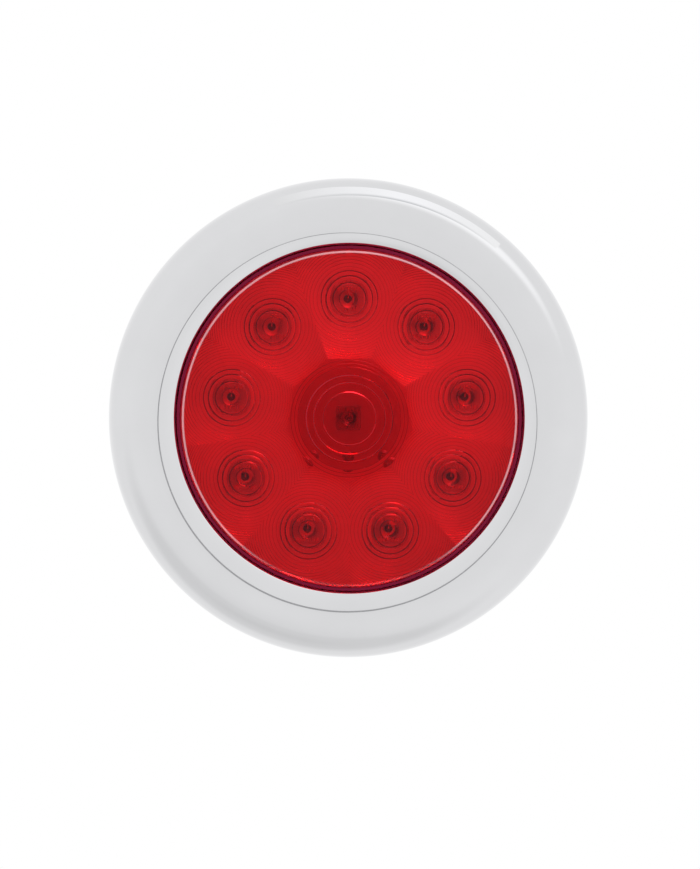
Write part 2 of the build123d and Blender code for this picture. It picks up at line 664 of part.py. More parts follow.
# regulator on the left and surge suppressor on the right, seen from the front
POWER_PART_X = 26.0
POWER_PART_Z = 4.0
REGULATOR_SIZE = (6.5, 6.1, 2.3)
REGULATOR_TAB = (5.3, 1.8)
REGULATOR_LEG = (0.9, 2.6)
REGULATOR_LEG_X = 2.3
REGULATOR_METAL_HEIGHT = 0.5
with BuildPart() as voltage_regulator:
    with BuildSketch(facing(BOARD_BACK_H)):
        with Locations((-POWER_PART_X, POWER_PART_Z)):
            Rectangle(REGULATOR_SIZE[0], REGULATOR_SIZE[1])
    extrude(amount=-REGULATOR_SIZE[2], taper=3)
    with BuildSketch(facing(BOARD_BACK_H)):
        with Locations((-POWER_PART_X, POWER_PART_Z)):
            with Locations((0, (REGULATOR_SIZE[1] + REGULATOR_TAB[1]) / 2 - 0.3)):
                Rectangle(*REGULATOR_TAB)
            with Locations((0, -(REGULATOR_SIZE[1] + REGULATOR_LEG[1]) / 2 + 0.3)):
                with GridLocations(2 * REGULATOR_LEG_X, 0, 2, 1):
                    Rectangle(*REGULATOR_LEG)
    extrude(amount=-REGULATOR_METAL_HEIGHT)
voltage_regulator.part.label = "voltage_regulator"
export_step(voltage_regulator.part, "parts/voltage_regulator.step")

SUPPRESSOR_SIZE = (7.0, 6.0, 2.4)
with BuildPart() as surge_suppressor:
    with BuildSketch(facing(BOARD_BACK_H)):
        with Locations((POWER_PART_X, POWER_PART_Z)):
            Rectangle(SUPPRESSOR_SIZE[0], SUPPRESSOR_SIZE[1])
    extrude(amount=-SUPPRESSOR_SIZE[2], taper=4)
surge_suppressor.part.label = "surge_suppressor"
export_step(surge_suppressor.part, "parts/surge_suppressor.step")

# ---- Potting that fills the cup behind the board ----
with BuildPart() as potting_compound:
    with BuildSketch(facing(BOARD_BACK_H)):
        Circle(HOUSING_LEDGE_R)
    extrude(amount=HOUSING_FLOOR_H + HOUSING_FLOOR_THICKNESS - BOARD_BACK_H)
    with BuildSketch(facing(WEB_FRONT_H)):
        with Locations((0, TOWER_Z)):
            RectangleRounded(*WEB_SIZE, 2.0)
    extrude(amount=HOUSING_FLOOR_H - WEB_FRONT_H, mode=Mode.SUBTRACT)
    for sunk in (solder_cones, resistors, diodes, capacitors, voltage_regulator, surge_suppressor):
        add(sunk.part, mode=Mode.SUBTRACT)
    for terminal in terminal_pins.values():
        add(terminal, mode=Mode.SUBTRACT)
potting_compound.part.label = "potting_compound"
export_step(potting_compound.part, "parts/potting_compound.step")
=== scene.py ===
import math

import bmesh
import bpy
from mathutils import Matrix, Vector


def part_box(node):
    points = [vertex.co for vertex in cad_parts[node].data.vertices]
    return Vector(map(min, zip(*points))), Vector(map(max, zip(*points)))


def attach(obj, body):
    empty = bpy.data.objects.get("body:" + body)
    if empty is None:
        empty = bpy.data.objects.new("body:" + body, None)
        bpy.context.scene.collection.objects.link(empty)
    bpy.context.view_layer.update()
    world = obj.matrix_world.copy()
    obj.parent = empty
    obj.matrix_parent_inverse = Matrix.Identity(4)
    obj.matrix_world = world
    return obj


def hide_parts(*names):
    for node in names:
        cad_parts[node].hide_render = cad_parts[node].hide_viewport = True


# Round LED trailer tail lamp in a chrome twist-lock bezel.
# The lamp's axis is Y and the lens faces -Y. Outlines below are (radius, height) points in
# millimetres, with heights counted forward from the mounting plane. Angles run anticlockwise
# from +X as seen from the front.

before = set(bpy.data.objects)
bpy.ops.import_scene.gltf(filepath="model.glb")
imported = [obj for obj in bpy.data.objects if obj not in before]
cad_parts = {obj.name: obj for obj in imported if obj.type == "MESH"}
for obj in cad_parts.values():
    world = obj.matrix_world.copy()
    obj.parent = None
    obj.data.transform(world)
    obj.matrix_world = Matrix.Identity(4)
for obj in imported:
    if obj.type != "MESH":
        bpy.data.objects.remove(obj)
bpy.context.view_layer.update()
MM = 0.001
TAU = 2 * math.pi


def height_span(node):
    """Back and front height of a CAD node, in millimetres."""
    low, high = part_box(node)
    return -high.y / MM, -low.y / MM


def half_width(node):
    """Outer radius of a round CAD node, in millimetres."""
    low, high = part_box(node)
    return (high.x - low.x) / 2 / MM


# ---------------------------------------------------------------- sizes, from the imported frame
BEZEL_R = half_width("bezel")
BEZEL_RIM_H, BEZEL_CREST_H = height_span("bezel")
FLANGE_BACK_H, LENS_FACE_H = height_span("lens")
LAMP_FLANGE_R = half_width("lens")
BOARD_FRONT_H = height_span("circuit_board")[1]
LED_RING_R = 37.0
LED_COUNT = 9
SECTOR = math.pi / LED_COUNT  # half the angle of an outer cell, seen from the lamp's axis

# ---------------------------------------------------------------- mesh helpers


def new_piece(name, points, faces, material, body, slot, replaced=(), sharp=30.0):
    """Mesh object from (x, height, z) points in millimetres, merged, with its normals outward."""
    mesh = bpy.data.meshes.new(name)
    mesh.from_pydata([(x * MM, -h * MM, z * MM) for x, h, z in points], [], faces)
    bm = bmesh.new()
    bm.from_mesh(mesh)
    bmesh.ops.remove_doubles(bm, verts=bm.verts, dist=2e-7)
    bmesh.ops.dissolve_degenerate(bm, edges=bm.edges, dist=1e-8)
    bmesh.ops.recalc_face_normals(bm, faces=bm.faces)
    bm.to_mesh(mesh)
    bm.free()
    mesh.shade_smooth()
    mesh.set_sharp_from_angle(angle=math.radians(sharp))
    mesh.materials.append(material)
    piece = bpy.data.objects.new(name, mesh)
    bpy.context.scene.collection.objects.link(piece)
    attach(piece, body)
    if replaced:
        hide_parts(*replaced)
    return piece


def lathe(outline_at, angles, centre=(0.0, 0.0), base=0.0):
    """Points and faces of a closed ring. outline_at(angle) is a closed loop of (radius, height)."""
    points = []
    for angle in angles:
        across, up = math.cos(angle), math.sin(angle)
        for radius, height in outline_at(angle):
            points.append((centre[0] + radius * across, base + height, centre[1] + radius * up))
    count = len(points) // len(angles)
    faces = []
    for i in range(len(angles)):
        j = (i + 1) % len(angles)
        for k in range(count):
            m = (k + 1) % count
            faces.append((i * count + k, j * count + k, j * count + m, i * count + m))
    return points, faces


def joined(parts):
    """Several (points, faces) pairs as one."""
    points, faces = [], []
    for more_points, more_faces in parts:
        start = len(points)
        points += more_points
        faces += [tuple(i + start for i in face) for face in more_faces]
    return points, faces


def turns(count):
    return [TAU * i / count for i in range(count)]


def arc(centre, radius, start, end, count):
    """Points along an arc of an outline, from one angle to another in degrees."""
    steps = [math.radians(start + (end - start) * i / (count - 1)) for i in range(count)]
    return [(centre[0] + radius * math.cos(a), centre[1] + radius * math.sin(a)) for a in steps]


def bezier(p0, p1, p2, p3, count):
    """Points along a cubic Bezier curve, without its first point."""
    curve = []
    for i in range(1, count + 1):
        t = i / count
        weights = ((1 - t) ** 3, 3 * t * (1 - t) ** 2, 3 * t * t * (1 - t), t**3)
        curve.append(tuple(sum(w * p[k] for w, p in zip(weights, (p0, p1, p2, p3))) for k in (0, 1)))
    return curve


# ---------------------------------------------------------------- material helpers


class Finish:
    """A Principled material in the making, with object-space textures in metres."""

    def __init__(self, name):
        self.material = bpy.data.materials.new(name)
        self.material.use_nodes = True
        self.tree = self.material.node_tree
        self.shader = self.tree.nodes["Principled BSDF"]
        self.place = self.tree.nodes.new("ShaderNodeTexCoord").outputs["Object"]

    def node(self, kind, inputs=None, **settings):
        made = self.tree.nodes.new(kind)
        for key, value in settings.items():
            setattr(made, key, value)
        for key, value in (inputs or {}).items():
            if isinstance(value, bpy.types.NodeSocket):
                self.tree.links.new(value, made.inputs[key])
            else:
                made.inputs[key].default_value = value
        return made

    def set(self, **values):
        for key, value in values.items():
            self.shader.inputs[key.replace("_", " ")].default_value = value
        return self

    def noise(self, scale, detail=3.0, roughness=0.5, stretch=None):
        place = self.place
        if stretch:
            mapping = self.node("ShaderNodeMapping", {"Vector": place, "Scale": stretch})
            place = mapping.outputs["Vector"]
        inputs = {"Vector": place, "Scale": scale, "Detail": detail, "Roughness": roughness}
        return self.node("ShaderNodeTexNoise", inputs).outputs["Fac"]

    def ramp(self, value, stops):
        """Colour ramp over (position, colour) stops."""
        made = self.node("ShaderNodeValToRGB", {"Fac": value})
        elements = made.color_ramp.elements
        while len(elements) < len(stops):
            elements.new(0.5)
        for element, (position, colour) in zip(elements, stops):
            element.position = position
            element.color = (*colour, 1.0)
        return made.outputs["Color"]

    def spread(self, value, low, high, start=0.3, end=0.7):
        """A noise value mapped to a range."""
        inputs = {"Value": value, "From Min": start, "From Max": end, "To Min": low, "To Max": high}
        return self.node("ShaderNodeMapRange", inputs).outputs["Result"]

    def mix(self, factor, first, second):
        made = self.node("ShaderNodeMix", data_type="RGBA")
        for key, value in ((0, factor), (6, first), (7, second)):
            if isinstance(value, bpy.types.NodeSocket):
                self.tree.links.new(value, made.inputs[key])
            else:
                made.inputs[key].default_value = value if key == 0 else (*value, 1.0)
        return made.outputs[2]

    def math(self, operation, *values):
        inputs = dict(enumerate(values))
        return self.node("ShaderNodeMath", inputs, operation=operation).outputs[0]

    def product(self, first, *others):
        for other in others:
            first = self.math("MULTIPLY", first, other)
        return first

    def edges(self, low=0.53, high=0.6):
        """1 on sharp outer edges, 0 elsewhere."""
        pointy = self.node("ShaderNodeNewGeometry").outputs["Pointiness"]
        return self.spread(pointy, 0.0, 1.0, low, high)

    def link(self, value, socket):
        self.tree.links.new(value, self.shader.inputs[socket])
        return self

    def bump(self, value, distance, strength=1.0):
        inputs = {"Height": value, "Distance": distance, "Strength": strength}
        made = self.node("ShaderNodeBump", inputs)
        return self.link(made.outputs["Normal"], "Normal")


def shade(colour, factor):
    return tuple(min(1.0, c * factor) for c in colour)


def plain_finish(name, colour, rough, grain, depth, metallic=0.0, worn=None, variation=0.12):
    """Solid material with mottled colour, uneven gloss, a fine grain and edges that catch wear."""
    finish = Finish(name).set(Metallic=metallic)
    tone = finish.ramp(
        finish.noise(grain / 12, 4.0),
        [(0.3, shade(colour, 1 - variation)), (0.7, shade(colour, 1 + variation))],
    )
    if worn:
        tone = finish.mix(finish.edges(), tone, worn)
    finish.link(tone, "Base Color")
    finish.link(finish.spread(finish.noise(grain / 5, 4.0), rough[0], rough[1]), "Roughness")
    finish.bump(finish.noise(grain, 2.0), depth)
    return finish.material


# ---------------------------------------------------------------- materials

CHROME_TONE = (0.71, 0.712, 0.718)


def make_chrome():
    """Bright plating: faint cloudiness, hairline polish marks and a very slight orange peel."""
    finish = Finish("chrome_plating").set(Metallic=1.0)
    cloud = finish.noise(60.0, 3.0)
    tone = finish.ramp(cloud, [(0.3, shade(CHROME_TONE, 0.985)), (0.7, shade(CHROME_TONE, 1.01))])
    finish.link(tone, "Base Color")
    hairlines = finish.noise(900.0, 2.0, 0.6, stretch=(1.0, 0.05, 0.25))
    finish.link(finish.spread(hairlines, 0.018, 0.05, 0.35, 0.75), "Roughness")
    finish.bump(finish.noise(140.0, 1.0), 0.000004)
    return finish.material


LENS_RED = (0.95, 0.022, 0.030)
# painted shade: the middle cell is tinted a deeper red than the outer cells, and the disc at its centre
# deeper still
LENS_MIDDLE_SHADE = (0.80, 0.016, 0.024)
LENS_CENTRE_SHADE = (0.66, 0.012, 0.020)
# painted light: the rim is tinted a paler, bluer red than the rest of the lens
LENS_RIM_PAINTED = (0.80, 0.035, 0.095)
FACE_SHEEN = (0.25, 0.25, 0.31)
# painted glint and painted sheen: the reflection tints of the face's round corner and of the rim
CORNER_PAINTED_GLINT = (1.0, 0.56, 0.60)
RIM_PAINTED_SHEEN = (1.0, 0.06, 0.19)


def make_red_lens():
    """Clear moulded polycarbonate, with painted light: a deeper red in the middle cell and deeper still
    at its centre, as painted shade, and a painted sheen and glint at its rim and round corner.
    """
    finish = Finish("red_polycarbonate").set(Transmission_Weight=1.0)
    flow = finish.noise(45.0, 2.0)
    tone = finish.ramp(flow, [(0.3, shade(LENS_RED, 0.97)), (0.7, shade(LENS_RED, 1.0))])
    flat = finish.node("ShaderNodeVectorMath", {0: finish.place, 1: (1, 0, 1)}, operation="MULTIPLY")
    radius = finish.node(
        "ShaderNodeVectorMath", {0: flat.outputs["Vector"]}, operation="LENGTH"
    ).outputs["Value"]
    split = finish.node("ShaderNodeSeparateXYZ", {"Vector": finish.place}).outputs
    # painted shade: the disc inside r 15.8 mm is tinted darkest, and the nine-sided middle cell a deeper
    # red than the outer cells
    centre_shade = finish.spread(radius, 1.0, 0.0, 0.01575, 0.01595)
    # distance from the axis square to the nearest side of the nine-sided middle cell
    turn = finish.math("ARCTAN2", split["Z"], split["X"])
    turn = finish.math("ADD", turn, TAU - math.pi / 2 + SECTOR)
    fold = finish.math("FLOORED_MODULO", turn, 2 * SECTOR)
    fold = finish.math("SUBTRACT", fold, SECTOR)
    apothem = finish.math("MULTIPLY", radius, finish.math("COSINE", fold))
    middle = finish.spread(apothem, 1.0, 0.0, 0.01845, 0.01855)
    # painted light: past r 52 mm the rim gets a paler tint, an index of 2.45 and a pink-purple
    # reflection tint, so its band shows brighter
    rim = finish.spread(radius, 0.0, 1.0, 0.0520, 0.0521)
    # painted glint: the round corner of the face is given an index far above that of plastic and a pale
    # pink reflection tint; along the bottom of the lamp it fades back, as painted shade
    corner = finish.product(
        finish.spread(radius, 0.0, 1.0, 0.0512, 0.0514),
        finish.spread(radius, 1.0, 0.0, 0.0519, 0.0520),
        finish.spread(split["Y"], 1.0, 0.0, -0.0157, -0.0154),
        finish.spread(split["Z"], 0.12, 1.0, -0.047, -0.036),
    )
    tone = finish.mix(centre_shade, finish.mix(middle, tone, LENS_MIDDLE_SHADE), LENS_CENTRE_SHADE)
    tone = finish.mix(rim, tone, LENS_RIM_PAINTED)
    finish.link(tone, "Base Color")
    # painted sheen and glint: the rim's reflection is tinted and its index raised to 2.45, the corner's
    # index to 6.0
    sheen = finish.mix(rim, finish.mix(corner, FACE_SHEEN, CORNER_PAINTED_GLINT), RIM_PAINTED_SHEEN)
    finish.link(sheen, "Specular Tint")
    index = finish.math("MULTIPLY_ADD", rim, 0.95, finish.math("MULTIPLY_ADD", corner, 4.5, 1.5))
    finish.link(index, "IOR")
    finish.link(finish.spread(finish.noise(700.0, 3.0), 0.012, 0.035), "Roughness")
    finish.bump(finish.noise(160.0, 1.0), 0.000003)
    return finish.material


def make_epoxy():
    """Clear LED epoxy with the faintest pink cast."""
    finish = Finish("led_epoxy").set(Transmission_Weight=1.0, IOR=1.53)
    haze = finish.noise(1500.0, 2.0)
    finish.link(finish.ramp(haze, [(0.3, (0.93, 0.82, 0.80)), (0.7, (0.97, 0.88, 0.86))]), "Base Color")
    finish.link(finish.spread(haze, 0.02, 0.06), "Roughness")
    return finish.material


BOARD_TONE = (0.86, 0.84, 0.80)


def make_board():
    """Solder-masked board: broad copper pours show through as a slightly darker pattern."""
    finish = Finish("board_solder_mask").set(Metallic=0.6)
    cells = finish.node(
        "ShaderNodeTexVoronoi", {"Vector": finish.place, "Scale": 150.0}, feature="DISTANCE_TO_EDGE"
    )
    pours = finish.spread(cells.outputs["Distance"], 0.0, 1.0, 0.03, 0.06)
    mottle = finish.ramp(finish.noise(400.0), [(0.3, shade(BOARD_TONE, 0.94)), (0.7, BOARD_TONE)])
    finish.link(finish.mix(pours, shade(BOARD_TONE, 0.95), mottle), "Base Color")
    finish.link(finish.spread(finish.noise(900.0), 0.42, 0.5), "Roughness")
    finish.bump(pours, 0.00001, 0.5)
    return finish.material


def make_foam():
    """Closed-cell foam rubber: fine pores all over a dull black skin."""
    finish = Finish("foam_rubber")
    pores = finish.node("ShaderNodeTexVoronoi", {"Vector": finish.place, "Scale": 1500.0})
    depth = finish.spread(pores.outputs["Distance"], 0.0, 1.0, 0.1, 0.5)
    # painted shade: each pore is coloured darker towards its bottom than the skin around it
    skin = finish.ramp(depth, [(0.0, (0.012, 0.012, 0.013)), (1.0, (0.05, 0.05, 0.052))])
    finish.link(skin, "Base Color")
    finish.link(finish.spread(finish.noise(500.0), 0.82, 0.97), "Roughness")
    finish.bump(depth, 0.00012, 0.8)
    return finish.material


def make_brushed_frame():
    """Silver-plated lead frame metal, rolled with fine lines."""
    finish = Finish("lead_frame_metal").set(Metallic=1.0)
    lines = finish.noise(3000.0, 2.0, stretch=(1.0, 1.0, 0.1))
    silver = finish.ramp(lines, [(0.3, (0.74, 0.72, 0.69)), (0.7, (0.86, 0.84, 0.81))])
    finish.link(silver, "Base Color")
    finish.link(finish.spread(lines, 0.22, 0.4), "Roughness")
    return finish.material


def make_moulded_black(name, tone, rough):
    """Moulded black plastic: fine spark texture, cloudy gloss, edges rubbed slightly grey."""
    finish = Finish(name)
    cloud = finish.noise(120.0, 4.0)
    body = finish.ramp(cloud, [(0.3, shade(tone, 0.8)), (0.7, shade(tone, 1.3))])
    finish.link(finish.mix(finish.edges(0.52, 0.62), body, shade(tone, 3.0)), "Base Color")
    finish.link(finish.spread(finish.noise(260.0, 4.0), rough[0], rough[1]), "Roughness")
    sparks = finish.node("ShaderNodeTexVoronoi", {"Vector": finish.place, "Scale": 2600.0})
    finish.bump(sparks.outputs["Distance"], 0.00005, 0.5)
    return finish.material


CHROME = make_chrome()
RED_LENS = make_red_lens()
EPOXY = make_epoxy()
BOARD = make_board()
FOAM = make_foam()
LEAD_FRAME = make_brushed_frame()
BASE_PLASTIC = make_moulded_black("base_plastic", (0.020, 0.020, 0.021), (0.42, 0.6))
HOUSING_PLASTIC = make_moulded_black("housing_plastic", (0.026, 0.026, 0.028), (0.34, 0.52))
SEAL = plain_finish("seal_rubber", (0.02, 0.02, 0.02), (0.55, 0.75), 1200.0, 0.00004)
STEEL = plain_finish("stainless_steel", (0.58, 0.57, 0.56), (0.2, 0.38), 900.0, 0.000006, 1.0)
BRASS = plain_finish("terminal_brass", (0.74, 0.56, 0.30), (0.18, 0.36), 1000.0, 0.000006, 1.0)
SOLDER = plain_finish("solder", (0.62, 0.62, 0.64), (0.2, 0.42), 2200.0, 0.00002, 1.0)
GOLD = plain_finish("gold_wire", (0.85, 0.62, 0.25), (0.2, 0.3), 4000.0, 0.000002, 1.0)
DIE = plain_finish("led_die", (0.10, 0.025, 0.05), (0.2, 0.35), 6000.0, 0.000002)
CERAMIC = plain_finish("resistor_ceramic", (0.03, 0.03, 0.035), (0.4, 0.6), 2500.0, 0.00001)
RESIN = plain_finish("component_resin", (0.022, 0.022, 0.022), (0.5, 0.7), 2500.0, 0.00002)
CAN = plain_finish("capacitor_can", (0.66, 0.66, 0.68), (0.25, 0.4), 1500.0, 0.000006, 1.0)
POTTING = plain_finish("potting_resin", (0.012, 0.012, 0.012), (0.12, 0.3), 300.0, 0.00006)

CAD_FINISHES = {
    "base_gasket": FOAM,
    "mounting_base": BASE_PLASTIC,
    "seat_gasket": SEAL,
    "lamp_housing": HOUSING_PLASTIC,
    "tail_pin": BRASS,
    "ground_pin": BRASS,
    "stop_pin": BRASS,
    "circuit_board": BOARD,
    "led_anode_frames": LEAD_FRAME,
    "led_cathode_frames": LEAD_FRAME,
    "led_dies": DIE,
    "led_bond_wires": GOLD,
    "solder_joints": SOLDER,
    "resistors": CERAMIC,
    "diodes": RESIN,
    "voltage_regulator": RESIN,
    "surge_suppressor": RESIN,
    "capacitors": CAN,
    "potting_compound": POTTING,
}
for node, material in CAD_FINISHES.items():
    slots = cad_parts[node].data.materials
    slots.clear()
    slots.append(material)

# ---------------------------------------------------------------- chrome bezel
MOUTH_R = 54.1
MOUTH_H = 13.5
CREST_R = 59.2
SHOULDER_R = 68.0
SHOULDER_H = 13.4
SHELL = 2.0
LIP_WIDTH = 1.8
LIP_BACK_H = 9.3
LUG_R = 69.0
LUG_BACK_H, LUG_FRONT_H = 1.2, 3.7
LUG_HALF_ANGLE = math.radians(11)

# The crest is a circle set a little down and to the left of the lamp's axis, seen from the
# front, so the dark line mirrored in it runs off centre too.
CREST_CENTRE = (-0.7, -1.5)


def crest_radius(angle):
    """Distance from the lamp's axis to the off-centre crest."""
    across, up = math.cos(angle), math.sin(angle)
    along = CREST_CENTRE[0] * across + CREST_CENTRE[1] * up
    beside = CREST_CENTRE[0] * up - CREST_CENTRE[1] * across
    return along + math.sqrt(CREST_R**2 - beside**2)


def dome_height(radius, angle):
    """Height of the bezel's front: one arc from mouth to crest, another from crest to shoulder."""
    crest = crest_radius(angle)
    edge_r, edge_h = (MOUTH_R, MOUTH_H) if radius < crest else (SHOULDER_R, SHOULDER_H)
    drop = BEZEL_CREST_H - edge_h
    arc_r = ((crest - edge_r) ** 2 + drop**2) / (2 * drop)
    return BEZEL_CREST_H - arc_r + math.sqrt(arc_r**2 - (radius - crest) ** 2)


def lug_reach(angle, wall_r):
    """Inner radius of the bezel's inside at the lugs' height: a lug, or just the wall."""
    quarter = math.pi / 2
    nearest = abs((angle + quarter / 2) % quarter - quarter / 2)
    return LUG_R if nearest <= LUG_HALF_ANGLE else wall_r


def bezel_outline(angle):
    """Up the mouth, over the dome, down the side, and back along the inside of the shell."""
    outline = [(MOUTH_R, LIP_BACK_H + 0.2), (MOUTH_R, MOUTH_H - 0.5)]
    first_r = MOUTH_R + 0.4
    start = (first_r, dome_height(first_r, angle))
    outline += bezier(outline[-1], (MOUTH_R, MOUTH_H - 0.1), (first_r - 0.2, start[1] - 0.03), start, 5)
    steps = 44
    for i in range(1, steps + 1):
        radius = first_r + (SHOULDER_R - first_r) * i / steps
        outline.append((radius, dome_height(radius, angle)))
    slope = 2 * math.atan((BEZEL_CREST_H - SHOULDER_H) / (SHOULDER_R - crest_radius(angle)))
    lead = (SHOULDER_R + 4.5 * math.cos(slope), outline[-1][1] - 4.5 * math.sin(slope))
    side = bezier(outline[-1], lead, (BEZEL_R, BEZEL_CREST_H / 2), (BEZEL_R, BEZEL_RIM_H + 0.4), 22)
    outline += side
    outline += arc((BEZEL_R - 0.4, BEZEL_RIM_H + 0.4), 0.4, -30, -90, 3)
    wall_r = BEZEL_R - SHELL
    outline += [(wall_r + 0.2, BEZEL_RIM_H), (wall_r, BEZEL_RIM_H + 0.2)]
    reach = lug_reach(angle, wall_r)
    outline += [(wall_r, LUG_BACK_H - 0.02), (reach, LUG_BACK_H), (reach, LUG_FRONT_H)]
    outline += [(wall_r, LUG_FRONT_H + 0.02)]
    under = (SHOULDER_R - 0.4, SHOULDER_H - SHELL)
    outline += bezier(outline[-1], (wall_r, 8.0), (under[0] + 3.4, under[1] - 0.8), under, 8)
    for i in range(1, 7):
        radius = under[0] + (MOUTH_R + LIP_WIDTH - under[0]) * i / 6
        outline.append((radius, dome_height(radius, angle) - SHELL))
    outline += [(MOUTH_R + LIP_WIDTH, LIP_BACK_H + 0.2), (MOUTH_R + LIP_WIDTH - 0.2, LIP_BACK_H)]
    outline += [(MOUTH_R + 0.2, LIP_BACK_H)]
    return outline


def bezel_angles():
    """Even steps, with a close pair at each end of each lug."""
    hair = math.radians(0.15)
    ends = []
    for i in range(4):
        for side in (-1, 1):
            end = i * math.pi / 2 + side * LUG_HALF_ANGLE
            ends += [end, end + side * hair]
    steps = [a for a in turns(480) if min(abs(a - e % TAU) for e in ends) > 2 * hair]
    return sorted(steps + [e % TAU for e in ends])


new_piece(
    "chrome_bezel", *lathe(bezel_outline, bezel_angles()),
    CHROME, "bezel", "chrome_plating", ("bezel",), sharp=35.0,
)

# ---------------------------------------------------------------- Fresnel lens
LED_ANGLES = [math.pi / 2 + 2 * SECTOR * k for k in range(LED_COUNT)]
LENS_THICKNESS = 2.5
INNER_H = LENS_FACE_H - LENS_THICKNESS  # foot of the rings, on the lens's inner side
LENS_BORE_R = 51.4
LENS_SKIRT_R = 53.7
LENS_LEDGE_H = 13.0
FLANGE_FRONT_H = 9.0
FACE_CORNER_R = 0.9
RING_DEPTH = 0.42
FIRST_RING_R = 5.0
HOLLOWED_RINGS = 6  # the widest ones, gently hollowed
RING_HOLLOW = 0.3
RINGS_REACH = 21.5  # past the far corners of an outer cell
FIELD_R = 51.2  # edge of the ringed area
DRAFT = 0.13
LENS_EDGE_R = 52.0
LAND = -0.05  # flat lands lie this far behind the feet of the rings
MIDDLE_CELL = LED_RING_R / 2  # apothem of the nine-sided middle cell


def outer_rings():
    """(radius, relief) down each ring: a lens bead, then rings of equal depth that close up."""
    rings = []
    for i in range(6):
        radius = FIRST_RING_R * i / 5
        rings.append((radius, RING_DEPTH * (1 - (i / 5) ** 2)))
    k = 1
    while FIRST_RING_R * math.sqrt(k) < RINGS_REACH:
        draft = 1.6 * DRAFT if k < 4 else DRAFT / 2
        near, far = FIRST_RING_R * math.sqrt(k) + draft, FIRST_RING_R * math.sqrt(k + 1)
        for t in (0, 0.2, 0.4, 0.6, 0.8) if k <= HOLLOWED_RINGS else (0,):
            hollow = RING_HOLLOW * (far - near) * t * (1 - t)
            rings.append((near + (far - near) * t, RING_DEPTH * (1 - t) - hollow))
        rings.append((far, 0.0))
        k += 1
    return rings


def middle_rings():
    """The middle cell: a shallow dish with a pip at its centre, two grooves, and fine rings."""
    dish, field, groove = -0.35, 0.1, 0.2
    rings = [(0.0, dish - 0.05), (0.5, dish + 0.12), (0.85, dish + 0.16), (1.15, dish)]
    rings += [(8.05, dish), (8.3, dish + 0.4), (8.65, dish + 0.6), (9.1, field)]
    for radius in (11.1, 13.4):
        rings += [(radius - 0.2, field), (radius, field - groove), (radius + 0.2, field)]
    rings.append((15.9, field))
    for i in range(3):
        near = 15.9 + 1.1 * i
        rings += [(near + DRAFT, RING_DEPTH), (near + 1.1, 0.0)]
    return rings


def relief(rings, radius):
    for (r0, e0), (r1, e1) in zip(rings, rings[1:]):
        if radius <= r1:
            return e0 + (e1 - e0) * (radius - r0) / (r1 - r0)
    return rings[-1][1]


def cell_reach(a):
    """Distance from an outer LED's axis to its cell's edge. a is 0 pointing outward from the lamp."""
    a = abs(a)
    reach = -LED_RING_R * math.cos(a) + math.sqrt(FIELD_R**2 - (LED_RING_R * math.sin(a)) ** 2)
    if a > SECTOR + 1e-6:
        side = math.sin(a - SECTOR)
        reach = min(reach, LED_RING_R * math.sin(SECTOR) / side) if side > 1e-6 else reach
    if math.cos(a) < -1e-6:
        reach = min(reach, -MIDDLE_CELL / math.cos(a))
    return reach


def crossings(radius):
    """Angles, from 0 to pi, where a ring of this radius meets the outer cell's edge."""
    found = []
    rim = (FIELD_R**2 - LED_RING_R**2 - radius**2) / (2 * LED_RING_R * radius)
    if abs(rim) < 1:
        found.append(math.acos(rim))
    side = LED_RING_R * math.sin(SECTOR) / radius
    if side < 1:
        found += [SECTOR + math.asin(side), SECTOR + math.pi - math.asin(side)]
    if MIDDLE_CELL < radius:
        found.append(math.pi - math.acos(MIDDLE_CELL / radius))
    return [a for a in found if 0 < a < math.pi and abs(cell_reach(a) - radius) < 1e-5]


def web(centre, heading, angles, reach_at, rings):
    """Ringed surface round one axis, out to its cell's edge. Returns points, faces and the edge."""
    points, spokes, faces = [(centre[0], INNER_H - rings[0][1], centre[1])], [], []
    for a in angles:
        reach = reach_at(a)
        along = (math.cos(heading + a), math.sin(heading + a))
        inside = [ring for ring in rings[1:] if ring[0] < reach - 1e-6]
        spoke = []
        for radius, rise in inside + [(reach, relief(rings, reach))]:
            spoke.append(len(points))
            points.append((centre[0] + radius * along[0], INNER_H - rise, centre[1] + radius * along[1]))
        spokes.append(spoke)
    for i, spoke in enumerate(spokes):
        other = spokes[(i + 1) % len(spokes)]
        faces.append((0, spoke[0], other[0]))
        shared = min(len(spoke), len(other))
        for k in range(shared - 1):
            faces.append((spoke[k], other[k], other[k + 1], spoke[k + 1]))
        if len(spoke) > shared:
            faces.append((spoke[shared - 1], other[-1], *spoke[: shared - 1 : -1]))
        if len(other) > shared:
            faces.append((spoke[-1], *other[shared - 1 :]))
    return points, faces, [spoke[-1] for spoke in spokes]


def cell_angles():
    """Spoke angles of an outer cell: even steps, its corners, and where rings meet its edge."""
    rim_corner = (FIELD_R * math.cos(SECTOR) - LED_RING_R, FIELD_R * math.sin(SECTOR))
    half = [math.radians(3.0 * i) for i in range(61)]
    half += [math.atan2(rim_corner[1], rim_corner[0]), math.pi - SECTOR]
    for radius, _ in outer_rings()[1:]:
        half += crossings(radius)
    half.sort()
    kept = [half[0]]
    for a in half[1:]:
        if a - kept[-1] > 1e-4:
            kept.append(a)
    return kept + [-a for a in reversed(kept[1:-1])]


